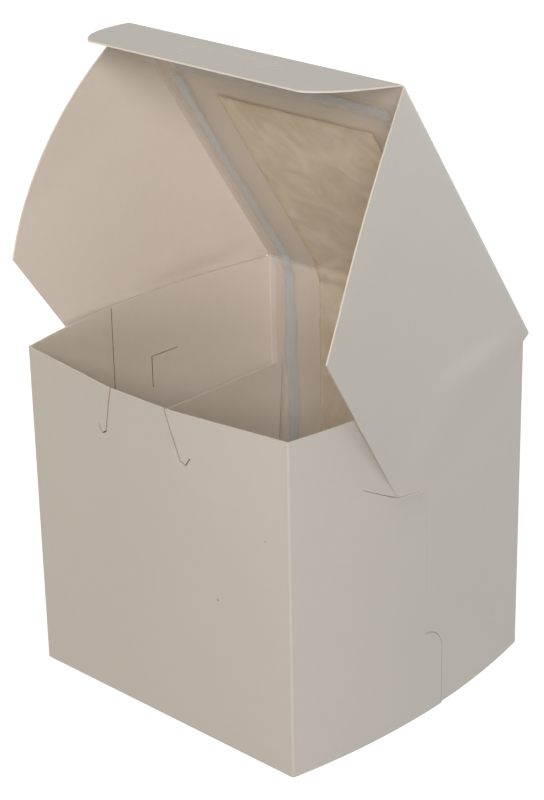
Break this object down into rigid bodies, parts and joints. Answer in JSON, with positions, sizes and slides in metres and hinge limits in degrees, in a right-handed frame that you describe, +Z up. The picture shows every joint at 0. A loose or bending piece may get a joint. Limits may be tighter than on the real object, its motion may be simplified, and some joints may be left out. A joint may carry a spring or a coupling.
{
  "type": "pastry box with window",
  "caption": "Small cube-shaped folding carton of white board with a hinged lid, side flaps, a tuck flap and a film window over lid and back.",
  "frame": {"origin": "on the underside of the floor, at its middle", "axes": "+X along the front panel to its right, +Y from the front panel to the window wall, +Z up"},
  "size_m": [0.1176, 0.1013, 0.1896],
  "materials": {
    "board": "matte",
    "board_lid": "matte",
    "film": "gloss"
  },
  "bodies": {
    "root": {"carton_body": "board", "window_film_back": "film"},
    "lid": {"lid": "board_lid", "window_film_lid": "film"},
    "tuck_flap": {"tuck_flap": "board_lid"}
  },
  "joints": [
    {"name": "lid_hinge", "type": "hinge", "parent": "root", "child": "lid", "pos_m": [0, 0.0503, 0.1016], "axis": [-1, 0, 0], "range_deg": [-56.6, 33.4]},
    {"name": "tuck_flap_hinge", "type": "hinge", "parent": "lid", "child": "tuck_flap", "pos_m": [0, -0.00538, 0.18659], "axis": [1, 0, 0], "range_deg": [-51, 39]}
  ]
}
